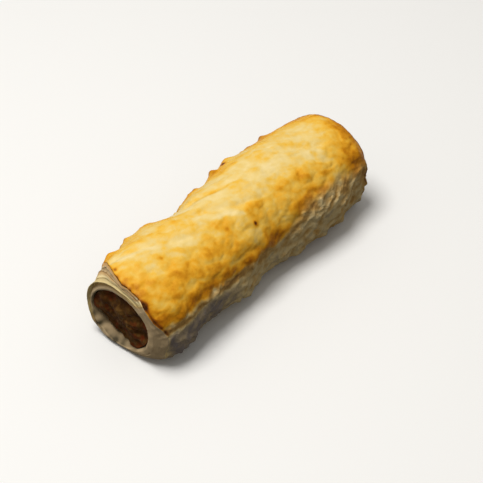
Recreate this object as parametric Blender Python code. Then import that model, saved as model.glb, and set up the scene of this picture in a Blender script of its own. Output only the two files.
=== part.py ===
"""A sausage roll: puff pastry baked round a run of sausage meat, open at both cut ends.

Metres, +Z up. The roll lies along X on its flat base. The end that shows its leaves best
is at -X, the pale front side at -Y. The origin is the middle of the base.

Both solids start as primitives and are pressed to shape: the pastry is a torus, a closed
wall with a bore through it, and the filling is a sphere drawn out to a rod.
"""
import math

import bmesh
import bpy
from mathutils import Vector, noise

# Driving dimensions of the whole roll
LENGTH = 0.134
WIDTH = 0.050
HEIGHT = 0.0394

# The run of sausage meat, and the bore of the pastry round it
MEAT_WIDTH = 0.0302
MEAT_HEIGHT = 0.0250
FIT_GAP = 0.0003
FLOOR_WALL = 0.0024
# The meat lies nearer the front at the near end and is slimmer at the far one
MEAT_SHIFTS = ((0.0, -0.0027), (1.0, 0.0006))
MEAT_SHARES = ((0.0, 1.0), (1.0, 0.88))

# Cross-section of the pastry
BELLY_HEIGHT = 0.43 * HEIGHT
DOME_POWER = 2.15
BASE_POWER = 3.2
BASE_CUT = 0.0005
PINCH_CENTRE = 0.010
PINCH_REACH = 0.0075
NEAR_PINCH = 0.90
FAR_PINCH = 0.84

# Unevenness along the roll, as (share of the length, factor)
FRONT_WIDTHS = ((0.0, 1.0), (0.09, 1.08), (0.28, 1.0), (0.42, 0.98), (0.53, 0.90), (0.76, 1.0), (1.0, 0.88))
BACK_WIDTHS = (
    (0.0, 0.74), (0.04, 0.64), (0.10, 0.70), (0.24, 0.82),
    (0.36, 0.66), (0.45, 0.81), (0.66, 0.95), (1.0, 0.90),
)
CRESTS = ((0.0, 0.93), (0.1, 0.96), (0.36, 0.95), (0.65, 1.0), (0.9, 0.98), (1.0, 0.97))

# Leaves of the pastry wall at a cut end, from the bore out: inner and outer share of the wall
LEAVES = ((0.0, 0.44), (0.52, 0.74), (0.81, 1.0))
# How far each leaf stands back from the cut where the stack has risen most
SET_BACK = (0.0, 0.0046, 0.0090)
SLIT_DEPTH = 0.0034
SLIT_TAPER = 0.02
FAR_RISE = 0.6
RISEN_MIDDLE = math.radians(168)
RISEN_POWER = 1.2
# Low down the leaves stay together and the wall rounds over into the crust by this much
WALL_ROUND = 0.0034
ROUND_POWER = 3
EDGE_WAVE = 0.0004
EDGE_WAVES = 2.3
# The near cut isn't square: its top stands back by this much per metre of height,
CUT_LEAN = 0.02
# and its front side stands back by this much behind its back side
CUT_SKEW = 0.0016
LIP_EASE = 0.0003

# Shallow diagonal scores across the crust, each by the share of the length where its line
# crosses the crest, its two ends as distances to the front of the crest, and its depth
SCORES = (
    (0.19, -0.012, 0.006, 0.0009),
    (0.55, -0.013, -0.003, 0.0010),
    (0.38, -0.002, 0.010, 0.0009),
    (0.76, -0.003, 0.008, 0.0008),
)
SCORE_SLANT = 1.7
SCORE_HALF_WIDTH = 0.0038
SCORE_FADE = 0.002

# Relief of the baked crust
SWELL = 0.0009
SWELL_SIZE = 0.017
BLISTER = 0.0008
BLISTER_SIZE = 0.0065
BLISTER_LEVEL = 0.2
BLISTER_SHIFT = Vector((3.1, 7.7, 1.9))
# The front shoulder blistered more than the rest, by these factors
CALM, ROUGH = 0.7, 1.3
ROUGH_MIDDLE = math.radians(20)
# Near the flat base the relief dies away, between these heights
BASE_CALM = (0.0012, 0.007)

# The flat that the roll rests on: its reach round the section each way from straight down,
# half its width at its middle and at its ends, where it ends along the roll at its sides,
# and how much sooner it ends in the middle. Its outline bows in, so it stands on its corners.
FOOT_TURN = math.radians(24)
FOOT_HALF_WIDTHS = (0.0080, 0.0092)
FOOT_END = 0.0616
FOOT_BAY = 0.008
# Round the flat, the crust stays at least this high
FOOT_LIFT = 0.0004

# Lumps that break the outline
CRAGS = (
    # share of the length, angle round the section in degrees, height, radius
    (0.098, 140, 0.0018, 0.0028),
    (0.19, 146, 0.0010, 0.0030),
    (0.27, 144, 0.0008, 0.0028),
    (0.47, 146, 0.0012, 0.0030),
    (0.57, 148, 0.0010, 0.0030),
    (0.64, 144, 0.0016, 0.0034),
    (0.74, 146, 0.0010, 0.0030),
    (0.81, 146, 0.0010, 0.0028),
    (0.05, -34, 0.0012, 0.0035),
    (0.13, -24, 0.0010, 0.0040),
    (0.40, -34, 0.0018, 0.0030),
    (0.53, -32, 0.0009, 0.0030),
    (0.645, -32, 0.0018, 0.0030),
    (0.75, -30, 0.0016, 0.0028),
    (0.83, -28, 0.0012, 0.0032),
)
# Arc of the section for each radian of its angle, as a share of the width
ARC_SHARE = 0.45

# How far behind the end of the roll the edge of the meat's cut face lies, by degrees round it,
# at the near end and at the far one. The foot of the near face lies deepest, so that the
# floor of the bore shows in front of it.
MEAT_EDGES = (
    (
        (0, 0.0034), (90, 0.0038), (150, 0.0026), (182, 0.0018), (206, 0.0041),
        (240, 0.0064), (273, 0.0046), (297, 0.0022), (330, 0.0024), (360, 0.0034),
    ),
    ((0, 0.0038), (180, 0.0038), (270, 0.0056), (360, 0.0038)),
)
# The middle of each face swells out to this depth
MEAT_MIDDLE = 0.0020
MEAT_CRUMB = 0.0010
MEAT_CRUMB_SIZE = 0.0045

# The primitives that are pressed to shape
RING_RADIUS = 0.020
TUBE_RADIUS = 0.005

# Mesh fineness
AROUND = 76
SKIN_STEPS = 50
BORE_STEPS = 7
MEAT_AROUND = 40
MEAT_RINGS = 22
MEAT_FACE_SHARE = 0.26

SHARP_EDGE = math.radians(50)
PASTRY_COLOUR = (0.84, 0.56, 0.19, 1.0)
PASTRY_ROUGHNESS = 0.5
MEAT_COLOUR = (0.14, 0.07, 0.03, 1.0)
MEAT_ROUGHNESS = 0.6


def between(stations, share):
    """Smooth value at a share of the length, from (share, value) stations."""
    for (low, first), (high, second) in zip(stations, stations[1:]):
        if share <= high:
            along = max(0.0, (share - low) / (high - low))
            return first + (second - first) * along * along * (3 - 2 * along)
    return stations[-1][1]


def ease(value, low, high):
    """0 below low, 1 above high, smooth between."""
    along = min(1.0, max(0.0, (value - low) / (high - low)))
    return along * along * (3 - 2 * along)


def power(value, exponent):
    """A signed power, for superellipses."""
    return math.copysign(abs(value) ** (2 / exponent), value)


def risen(angle):
    """How far the leaves have come apart here: 1 at the back shoulder, 0 at the front and underneath."""
    return max(0.0, math.cos(angle - RISEN_MIDDLE)) ** RISEN_POWER


def lifted(share):
    """Share of the full section here, below 1 where the cut ends are pinched in."""
    from_end = min(share, 1 - share) * LENGTH
    along = min(1.0, from_end / PINCH_REACH)
    least = NEAR_PINCH if share < 0.5 else FAR_PINCH
    return least + (1 - least) * math.sqrt(1 - (1 - along) ** 2)


def section(share, angle):
    """(y, z) of the smooth outer skin. The angle is 0 at the front, 90 degrees at the crest."""
    across, up = math.cos(angle), math.sin(angle)
    widths = FRONT_WIDTHS if across > 0 else BACK_WIDTHS
    half = WIDTH / 2 * between(widths, share)
    exponent = DOME_POWER if up > 0 else BASE_POWER
    dome = HEIGHT * between(CRESTS, share) - BELLY_HEIGHT
    y = -half * power(across, exponent)
    z = BELLY_HEIGHT + (dome if up > 0 else BELLY_HEIGHT + BASE_CUT) * power(up, exponent)
    pinch = lifted(share)
    return y * pinch, PINCH_CENTRE + (z - PINCH_CENTRE) * pinch


def meat_oval(share, angle, out, clear):
    """(y, z) on the meat's oval section, scaled by out and then set clear of the meat."""
    size = between(MEAT_SHARES, share)
    half_width = MEAT_WIDTH / 2 * size
    half_height = MEAT_HEIGHT / 2 * size
    y = between(MEAT_SHIFTS, share) - (half_width * out + clear) * math.cos(angle)
    middle = FLOOR_WALL + FIT_GAP + half_height
    return y, middle + (half_height * out + clear) * math.sin(angle)


def bore(share, angle):
    """(y, z) of the bore's wall, an oval just clear of the meat."""
    return meat_oval(share, angle, 1.0, FIT_GAP)


def score_depth(share, angle):
    """How deep the diagonal scores cut here."""
    forward = math.cos(angle) * WIDTH / 2
    depth = 0.0
    for start, back_end, front_end, deep in SCORES:
        off = (share - start) * LENGTH - SCORE_SLANT * forward
        begun = ease(forward, back_end - SCORE_FADE, back_end + SCORE_FADE)
        ended = ease(forward, front_end - SCORE_FADE, front_end + SCORE_FADE)
        depth += deep * begun * (1 - ended) * math.exp(-((off / SCORE_HALF_WIDTH) ** 2))
    return depth if math.sin(angle) > 0 else 0.0


def relief(share, angle, place):
    """Height of the baked crust over the smooth skin at a place on it."""
    swell = SWELL * noise.noise(place / SWELL_SIZE)
    blister = BLISTER * (abs(noise.noise(place / BLISTER_SIZE + BLISTER_SHIFT)) - BLISTER_LEVEL)
    rough = CALM + (ROUGH - CALM) * ease(math.cos(angle - ROUGH_MIDDLE), 0.2, 0.9)
    crag = 0.0
    for at, degrees, height, radius in CRAGS:
        turn = math.remainder(angle - math.radians(degrees), 2 * math.pi)
        apart = math.hypot((share - at) * LENGTH, turn * ARC_SHARE * WIDTH)
        crag += height * math.exp(-((apart / radius) ** 2))
    return swell + blister * rough + crag - score_depth(share, angle)


def settled(place, angle):
    """The place, pressed onto the flat base or held clear of it."""
    across = math.remainder(angle - 1.5 * math.pi, 2 * math.pi) / FOOT_TURN
    if abs(across) > 1 or abs(place.x) > FOOT_END - FOOT_BAY * (1 - across ** 2):
        return Vector((place.x, place.y, max(FOOT_LIFT, place.z)))
    middle, end = FOOT_HALF_WIDTHS
    half = middle + (end - middle) * (place.x / FOOT_END) ** 2
    return Vector((place.x, -half * across, 0.0))


def skin(share, angle):
    """A point on the crust, with its relief, settled on the base."""
    y, z = section(share, angle)
    x = (share - 0.5) * LENGTH
    raised = relief(share, angle, Vector((x, y, z))) * ease(z, *BASE_CALM)
    outward = Vector((0.0, y, z - BELLY_HEIGHT)).normalized()
    return settled(Vector((x, y, z)) + outward * raised, angle)


def edge_wave(side, leaf, angle):
    """Unevenness of a leaf's cut edge, from a place of its own in the noise for each leaf and end."""
    around = Vector((math.cos(angle), math.sin(angle), 0.0)) * EDGE_WAVES
    return EDGE_WAVE * noise.noise(around + Vector((0.0, 0.0, 4.0 * leaf + 17.0 * side)))


def wall_stations():
    """The closed loop round the wall: (side, kind, leaf, share of the wall or of the length)."""
    near = []
    for leaf, (inner, outer) in enumerate(LEAVES):
        near.append((-1, "edge", leaf, inner))
        near.append((-1, "edge", leaf, outer))
        if leaf + 1 < len(LEAVES):
            near.append((-1, "slit", leaf, outer + SLIT_TAPER))
            near.append((-1, "slit", leaf, LEAVES[leaf + 1][0] - SLIT_TAPER))
    far = [(1, kind, leaf, depth) for _, kind, leaf, depth in reversed(near)]
    outside = [(0, "skin", 0, (step + 1) / (SKIN_STEPS + 1)) for step in range(SKIN_STEPS)]
    inside = [(0, "bore", 0, 1 - (step + 1) / (BORE_STEPS + 1)) for step in range(BORE_STEPS)]
    return near + outside + far + inside


def cut_inset(side, kind, leaf, share, angle):
    """Distance of a point of the cut end from the end of the roll."""
    rise = risen(angle) * (1.0 if side < 0 else FAR_RISE)
    low_down = 1 - ease(math.sin(angle), 0.0, 0.5)
    rounded = WALL_ROUND * low_down * share ** ROUND_POWER
    inset = rounded + (SET_BACK[leaf] - rounded) * rise + edge_wave(side, leaf, angle)
    if side < 0:
        inset += (CUT_LEAN * HEIGHT * (1 + math.sin(angle)) + CUT_SKEW * (1 + math.cos(angle))) / 2
    if kind == "slit":
        inset += SLIT_DEPTH * rise
    return max(0.0, inset)


def wall_point(station, angle):
    """Place of one point of the pastry wall."""
    side, kind, leaf, share = station
    if kind == "skin":
        start, end = (cut_inset(edge, "edge", 2, 1.0, angle) / LENGTH for edge in (-1, 1))
        return skin(start + (1 - start - end) * share, angle)
    if kind == "bore":
        x = (share - 0.5) * (LENGTH - 2 * SLIT_DEPTH)
        y, z = bore(x / LENGTH + 0.5, angle)
        return Vector((x, y, z))
    inset = cut_inset(side, kind, leaf, share, angle)
    if share in (0.0, 1.0):
        inset += LIP_EASE
    along = inset / LENGTH if side < 0 else 1 - inset / LENGTH
    outside = skin(along, angle)
    y, z = bore(along, angle)
    inside = Vector((outside.x, y, z))
    return inside.lerp(outside, share)


def pastry_mesh():
    """The pastry: a torus whose ring turns round the roll and whose tube follows the wall."""
    stations = wall_stations()
    bpy.ops.mesh.primitive_torus_add(
        major_segments=AROUND, minor_segments=len(stations),
        major_radius=RING_RADIUS, minor_radius=TUBE_RADIUS,
    )
    made = bpy.context.object
    for index, vertex in enumerate(made.data.vertices):
        turn, step = divmod(index, len(stations))
        vertex.co = wall_point(stations[step], 2 * math.pi * turn / AROUND)
    return made


def meat_face(side, out, angle):
    """A point of one of the two cut faces of the filling, with its crumb."""
    edge = between(MEAT_EDGES[0 if side < 0 else 1], math.degrees(angle) % 360)
    from_middle = LENGTH / 2 - MEAT_MIDDLE - (edge - MEAT_MIDDLE) * out ** 2
    y, z = meat_oval(0.5 + side * from_middle / LENGTH, angle, out, 0.0)
    crumb = MEAT_CRUMB * noise.noise(Vector((side * from_middle, y, z)) / MEAT_CRUMB_SIZE)
    return Vector((side * (from_middle + crumb * (1 - out ** 4)), y, z))


def meat_point(ring, angle):
    """Place of a point of the filling, from its ring's share of the way from end to end."""
    if ring < MEAT_FACE_SHARE:
        return meat_face(-1, ring / MEAT_FACE_SHARE, angle)
    if ring > 1 - MEAT_FACE_SHARE:
        return meat_face(1, (1 - ring) / MEAT_FACE_SHARE, angle)
    along = (ring - MEAT_FACE_SHARE) / (1 - 2 * MEAT_FACE_SHARE)
    x = meat_face(-1, 1.0, angle).lerp(meat_face(1, 1.0, angle), along).x
    return Vector((x, *meat_oval(x / LENGTH + 0.5, angle, 1.0, 0.0)))


def filling_mesh():
    """The sausage meat: a sphere whose end rings flatten into the two cut faces."""
    bpy.ops.mesh.primitive_uv_sphere_add(segments=MEAT_AROUND, ring_count=MEAT_RINGS, radius=1.0)
    made = bpy.context.object
    for vertex in made.data.vertices:
        ring = math.acos(max(-1.0, min(1.0, vertex.co.z))) / math.pi
        angle = math.atan2(vertex.co.y, vertex.co.x)
        vertex.co = meat_point(ring, angle)
    return made


def face_outwards(obj):
    """Turns the faces of a closed mesh outwards."""
    mesh = bmesh.new()
    mesh.from_mesh(obj.data)
    bmesh.ops.recalc_face_normals(mesh, faces=mesh.faces)
    mesh.to_mesh(obj.data)
    mesh.free()


def dress(obj, name, colour, roughness, collection):
    """Names an object, gives it its material and moves it to the roll's collection."""
    obj.name = name
    obj.data.name = name
    material = bpy.data.materials.new(name)
    material.use_nodes = True
    shader = material.node_tree.nodes["Principled BSDF"]
    shader.inputs["Base Color"].default_value = colour
    shader.inputs["Roughness"].default_value = roughness
    shader.inputs["Metallic"].default_value = 0.0
    obj.data.materials.clear()
    obj.data.materials.append(material)
    obj.data.shade_smooth()
    obj.data.set_sharp_from_angle(angle=SHARP_EDGE)
    for old in list(obj.users_collection):
        old.objects.unlink(obj)
    collection.objects.link(obj)


def centre_over_base(pastry, filling):
    """Moves both meshes so that the middle of the pastry's box is over the origin."""
    corners = [vertex.co for vertex in pastry.data.vertices]
    middle = [(min(c[axis] for c in corners) + max(c[axis] for c in corners)) / 2 for axis in (0, 1)]
    for obj in (pastry, filling):
        for vertex in obj.data.vertices:
            vertex.co.x -= middle[0]
            vertex.co.y -= middle[1]


def main():
    for old in list(bpy.data.objects):
        bpy.data.objects.remove(old)
    collection = bpy.data.collections.new("sausage_roll")
    bpy.context.scene.collection.children.link(collection)
    pastry = pastry_mesh()
    filling = filling_mesh()
    for obj in (pastry, filling):
        face_outwards(obj)
    centre_over_base(pastry, filling)
    dress(pastry, "pastry", PASTRY_COLOUR, PASTRY_ROUGHNESS, collection)
    dress(filling, "filling", MEAT_COLOUR, MEAT_ROUGHNESS, collection)


main()
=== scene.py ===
"""A baked sausage roll: the looks of its flaky pastry and of its filling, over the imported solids.

Metres, +Z up, in the frame of the solids: the roll lies along X on its flat base, with the
open end that shows at -X and the pale front side at -Y. The pastry is one closed wall spun
round X and pressed to the roll's form; the sausage meat is a sphere drawn out to a rod.
"""
import logging
import math
from dataclasses import dataclass, field
from enum import Enum
from typing import Any, Iterator, Sequence

import bmesh
import bpy
import numpy as np
from mathutils import Matrix, Vector, noise


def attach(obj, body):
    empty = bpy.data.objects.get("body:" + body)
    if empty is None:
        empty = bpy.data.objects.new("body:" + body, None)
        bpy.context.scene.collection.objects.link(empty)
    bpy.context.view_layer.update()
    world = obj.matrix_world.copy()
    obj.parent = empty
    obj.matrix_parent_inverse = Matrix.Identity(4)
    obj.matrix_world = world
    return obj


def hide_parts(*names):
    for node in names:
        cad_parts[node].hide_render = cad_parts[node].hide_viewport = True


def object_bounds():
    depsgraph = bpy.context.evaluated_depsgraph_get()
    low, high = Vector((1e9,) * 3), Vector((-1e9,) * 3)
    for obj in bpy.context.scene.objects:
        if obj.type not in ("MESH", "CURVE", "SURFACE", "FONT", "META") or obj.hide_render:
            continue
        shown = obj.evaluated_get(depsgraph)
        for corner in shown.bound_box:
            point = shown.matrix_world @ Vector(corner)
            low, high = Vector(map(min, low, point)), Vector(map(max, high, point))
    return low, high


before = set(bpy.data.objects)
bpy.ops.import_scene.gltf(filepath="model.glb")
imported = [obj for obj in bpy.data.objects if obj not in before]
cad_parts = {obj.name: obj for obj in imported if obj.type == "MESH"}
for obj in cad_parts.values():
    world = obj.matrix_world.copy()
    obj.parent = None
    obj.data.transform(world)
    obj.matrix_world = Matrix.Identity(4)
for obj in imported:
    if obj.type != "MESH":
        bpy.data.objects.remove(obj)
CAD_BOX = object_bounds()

LOG = logging.getLogger("sausage_roll")
MM = 0.001
BODY = "root"
# The angle of the underside, where 0 is the front and a quarter turn the crest.
UNDERSIDE = 1.5 * math.pi
# Without a seed, noise_vector gives another result in each run.
WARP_SEED = 7
# A Mix node's inputs by number: its two plain values and its two colours.
VALUE_A, VALUE_B, COLOUR_A, COLOUR_B = 2, 3, 6, 7


def ease(value: float, low: float, high: float) -> float:
    """Rise smoothly from 0 at low to 1 at high.

    Args:
        value: The value to place between low and high.
        low: Where the rise starts.
        high: Where it ends.

    Returns:
        A share from 0 to 1.
    """
    along = min(1.0, max(0.0, (value - low) / (high - low)))
    return along * along * (3 - 2 * along)


def bump(value: float, middle: float, half: float) -> float:
    """Give a smooth hill of height 1 at the middle, about half wide each way."""
    return math.exp(-(((value - middle) / half) ** 2))


@dataclass(frozen=True)
class Rise:
    """A smooth rise from 0 at low to 1 at high."""

    low: float
    high: float

    def at(self, value: float) -> float:
        """Give how far up the rise a value is, from 0 to 1."""
        return ease(value, self.low, self.high)


@dataclass(frozen=True)
class Hill:
    """A smooth hill with a height, a middle and a half width."""

    height: float
    middle: float
    half: float

    def at(self, value: float) -> float:
        """Give the hill's height at a value."""
        return self.height * bump(value, self.middle, self.half)


# From the front of the roll to its back, by y.
BEHIND = Rise(-0.002, 0.006)


def superellipse(value: float, exponent: float) -> float:
    """Raise a sine or cosine to the power of a superellipse, and keep its sign."""
    return math.copysign(abs(value) ** (2 / exponent), value)


def linear(colour: str, alpha: float = 1.0) -> tuple[float, float, float, float]:
    """Turn an sRGB hex colour into linear values.

    Args:
        colour: Six hex digits after a #.
        alpha: The opacity that goes with it.

    Returns:
        Linear red, green and blue, and the opacity.
    """
    parts = [int(colour[at:at + 2], 16) / 255 for at in (1, 3, 5)]
    red, green, blue = (
        part / 12.92 if part <= 0.04045 else ((part + 0.055) / 1.055) ** 2.4 for part in parts
    )
    return red, green, blue, alpha


def add_node(
    tree: bpy.types.NodeTree,
    kind: str,
    links: dict[int | str, bpy.types.NodeSocket] | None = None,
    values: dict[int | str, Any] | None = None,
    stops: Sequence[tuple[float, str]] = (),
    **settings: Any,
) -> bpy.types.Node:
    """Add a node with its settings and links.

    Args:
        tree: The material's node tree.
        kind: The node's type name.
        links: The output socket that feeds each named or numbered input.
        values: The constant of each named or numbered input.
        stops: Positions and hex colours, for a colour ramp.
        settings: The node's own properties.

    Returns:
        The new node.
    """
    node = tree.nodes.new(kind)
    for name, value in settings.items():
        setattr(node, name, value)
    for key, value in (values or {}).items():
        node.inputs[key].default_value = value
    for key, source in (links or {}).items():
        tree.links.new(source, node.inputs[key])
    for number, (position, colour) in enumerate(stops):
        elements = node.color_ramp.elements
        element = elements[number] if number < len(elements) else elements.new(position)
        element.position = position
        element.color = linear(colour)
    return node


@dataclass(frozen=True)
class Profile:
    """A value that changes smoothly along the roll, from (share of the length, value) stations."""

    stations: tuple[tuple[float, float], ...]

    def at(self, share: float) -> float:
        """Give the value at a share of the length, from 0 at the near end to 1 at the far one."""
        for (low, first), (high, second) in zip(self.stations, self.stations[1:]):
            if share <= high:
                return first + (second - first) * ease(share, low, high)
        return self.stations[-1][1]


@dataclass(frozen=True)
class RollForm:
    """The roll's smooth form, as its solids have it: a dome on a flat base round an oval bore."""

    length: float = 0.134
    width: float = 0.050
    height: float = 0.0394
    meat_width: float = 0.0302
    meat_height: float = 0.0250
    fit_gap: float = 0.0003
    floor_wall: float = 0.0024
    meat_shifts: Profile = Profile(((0.0, -0.0027), (1.0, 0.0006)))
    meat_shares: Profile = Profile(((0.0, 1.0), (1.0, 0.88)))
    meat_edges: tuple[Profile, Profile] = (
        Profile(
            (
                (0, 0.0034), (90, 0.0038), (150, 0.0026), (182, 0.0018), (206, 0.0041),
                (240, 0.0064), (273, 0.0046), (297, 0.0022), (330, 0.0024), (360, 0.0034),
            )
        ),
        Profile(((0, 0.0038), (180, 0.0038), (270, 0.0056), (360, 0.0038))),
    )
    meat_middle: float = 0.0020
    belly_share: float = 0.43
    dome_power: float = 2.15
    base_power: float = 3.2
    base_cut: float = 0.0005
    pinch_centre: float = 0.010
    pinch_reach: float = 0.0075
    near_pinch: float = 0.90
    far_pinch: float = 0.84
    foot_turn: float = math.radians(24)
    foot_half_widths: tuple[float, float] = (0.0080, 0.0092)
    foot_end: float = 0.0616
    foot_bay: float = 0.008
    foot_lift: float = 0.0004
    front_widths: Profile = Profile(
        ((0.0, 1.0), (0.09, 1.08), (0.28, 1.0), (0.42, 0.98), (0.53, 0.90), (0.76, 1.0), (1.0, 0.88))
    )
    back_widths: Profile = Profile(
        (
            (0.0, 0.74), (0.04, 0.64), (0.10, 0.70), (0.24, 0.82),
            (0.36, 0.66), (0.45, 0.81), (0.66, 0.95), (1.0, 0.90),
        )
    )
    crests: Profile = Profile(((0.0, 0.93), (0.1, 0.96), (0.36, 0.95), (0.65, 1.0), (0.9, 0.98), (1.0, 0.97)))

    @property
    def belly(self) -> float:
        """Give the height at which the roll is widest."""
        return self.belly_share * self.height

    def lifted(self, share: float) -> float:
        """Give the share of the full section here, below 1 where the cut ends are pinched in."""
        from_end = min(share, 1 - share) * self.length
        along = min(1.0, max(0.0, from_end) / self.pinch_reach)
        least = self.near_pinch if share < 0.5 else self.far_pinch
        return least + (1 - least) * math.sqrt(1 - (1 - along) ** 2)

    def settled(self, place: Vector, angle: float) -> Vector:
        """Press a point of the crust onto the flat base, whose outline bows in, or hold it clear of it.

        Args:
            place: The point.
            angle: Where it is round the roll.

        Returns:
            The point where it ends up.
        """
        across = math.remainder(angle - UNDERSIDE, 2 * math.pi) / self.foot_turn
        if abs(across) > 1 or abs(place.x) > self.foot_end - self.foot_bay * (1 - across ** 2):
            return Vector((place.x, place.y, max(self.foot_lift, place.z)))
        middle, end = self.foot_half_widths
        half = middle + (end - middle) * (place.x / self.foot_end) ** 2
        return Vector((place.x, -half * across, 0.0))

    def section(self, share: float, angle: float) -> tuple[float, float]:
        """Give a point of the smooth outer skin.

        Args:
            share: How far along the roll.
            angle: Where round it, 0 at the front and a quarter turn at the crest.

        Returns:
            The point's y and z.
        """
        across, up = math.cos(angle), math.sin(angle)
        widths = self.front_widths if across > 0 else self.back_widths
        half = self.width / 2 * widths.at(share)
        power = self.dome_power if up > 0 else self.base_power
        rise = self.height * self.crests.at(share) - self.belly if up > 0 else self.belly + self.base_cut
        y = -half * superellipse(across, power)
        z = self.belly + rise * superellipse(up, power)
        pinch = self.lifted(share)
        return y * pinch, self.pinch_centre + (z - self.pinch_centre) * pinch

    def meat_edge(self, side: int, angle: float) -> float:
        """Give how far behind the end of the roll the edge of the meat's cut face lies."""
        return self.meat_edges[0 if side < 0 else 1].at(math.degrees(angle) % 360)

    def meat_oval(self, share: float, angle: float, out: float, clear: float) -> tuple[float, float]:
        """Give a point of the meat's oval section.

        Args:
            share: How far along the roll.
            angle: Where round it.
            out: Share of the way out from the oval's middle.
            clear: A distance to stand off the meat, for the bore.

        Returns:
            The point's y and z.
        """
        size = self.meat_shares.at(share)
        half_width = self.meat_width / 2 * size
        half_height = self.meat_height / 2 * size
        y = self.meat_shifts.at(share) - (half_width * out + clear) * math.cos(angle)
        middle = self.floor_wall + self.fit_gap + half_height
        return y, middle + (half_height * out + clear) * math.sin(angle)


@dataclass(frozen=True)
class Score:
    """A shallow diagonal score across the crust, pale where the knife opened the glaze."""

    crest_share: float
    back_end: float
    front_end: float
    depth: float
    slant: float = 1.7
    half_width: float = 0.0038
    fade: float = 0.002

    def strength(self, form: RollForm, share: float, angle: float) -> float:
        """Give how much of the score's full depth is here, from 0 to 1."""
        forward = math.cos(angle) * form.width / 2
        if math.sin(angle) <= 0:
            return 0.0
        off = (share - self.crest_share) * form.length - self.slant * forward
        begun = ease(forward, self.back_end - self.fade, self.back_end + self.fade)
        ended = ease(forward, self.front_end - self.fade, self.front_end + self.fade)
        return begun * (1 - ended) * bump(off, 0.0, self.half_width)


@dataclass(frozen=True)
class Crag:
    """A lump of the crust that breaks the roll's outline."""

    share: float
    degrees: float
    height: float
    radius: float
    arc_share: float = 0.45

    def strength(self, form: RollForm, share: float, angle: float, reach: float) -> float:
        """Give how much of the lump is here, from 0 to 1, with its radius times reach."""
        turn = math.remainder(angle - math.radians(self.degrees), 2 * math.pi)
        apart = math.hypot((share - self.share) * form.length, turn * self.arc_share * form.width)
        return bump(apart, 0.0, self.radius * reach)


@dataclass(frozen=True)
class PaleStreak:
    """A feathered pale streak, where the knife opened the glaze, along a bent line seen from above."""

    corners: tuple[tuple[float, float], ...]
    half_width: float = 0.0026
    strength: float = 1.0

    def at(self, form: RollForm, share: float, y: float) -> float:
        """Give how much of the streak is here, from 0 to 1."""
        here = Vector((share * form.length, y))
        nearest = math.inf
        for first, second in zip(self.corners, self.corners[1:]):
            start, end = (Vector((part * form.length, across)) for part, across in (first, second))
            run = end - start
            along = min(1.0, max(0.0, (here - start).dot(run) / run.length_squared))
            nearest = min(nearest, (here - start - run * along).length)
        return self.strength * bump(nearest, 0.0, self.half_width)


@dataclass(frozen=True)
class BrownSpot:
    """A small place that the oven browned more than what is round it, seen from above."""

    share: float
    y: float
    radius: float
    strength: float


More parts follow.
